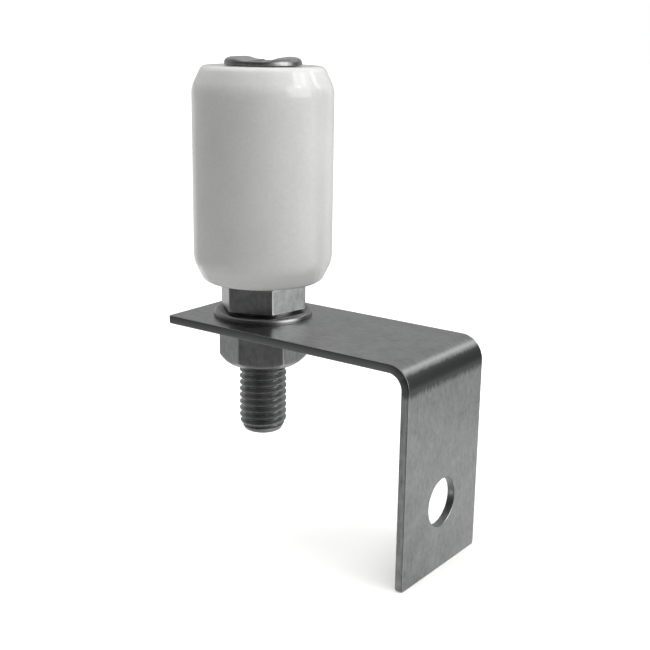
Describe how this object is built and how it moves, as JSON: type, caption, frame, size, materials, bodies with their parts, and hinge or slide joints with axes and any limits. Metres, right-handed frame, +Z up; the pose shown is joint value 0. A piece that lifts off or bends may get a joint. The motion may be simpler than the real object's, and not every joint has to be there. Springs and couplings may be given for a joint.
{
  "type": "guide roller for a sliding door or gate",
  "caption": "Smooth nylon guide roller turning on an upright slotted axle, clamped with nuts and a washer to an L-shaped steel bracket with a fixing hole.",
  "frame": {"origin": "centre of the fixing hole, on the bracket's flat mounting face", "axes": "+X out of the mounting face into the wall or post, +Z up along the roller's axle, +Y across the bracket's width to make a right-handed frame"},
  "size_m": [0.083, 0.04, 0.1356],
  "materials": {
    "bracket_steel": "bright zinc plate on cold-rolled strip, satin, with faint rolling lines",
    "roller_nylon": "natural white nylon, turned smooth, semi-gloss",
    "axle_steel": "bright zinc plate over turned and rolled-thread steel",
    "nut_steel": "bright zinc plate on cold-forged hexagon nuts",
    "washer_steel": "bright zinc plate on a stamped washer",
    "sleeve_steel": "drawn and ground steel tube"
  },
  "bodies": {
    "carrier": {"bracket": "bracket_steel", "axle_bolt": "axle_steel", "spacer_sleeve": "sleeve_steel", "thrust_washer": "washer_steel", "jam_nut": "nut_steel", "plate_washer": "washer_steel", "clamp_nut": "nut_steel"},
    "roller": {"roller": "roller_nylon"}
  },
  "joints": [
    {"name": "roller_spin", "type": "hinge", "parent": "carrier", "child": "roller", "pos_m": [-0.063, 0, 0.08345], "axis": [0, 0, 1], "continuous": true}
  ]
}
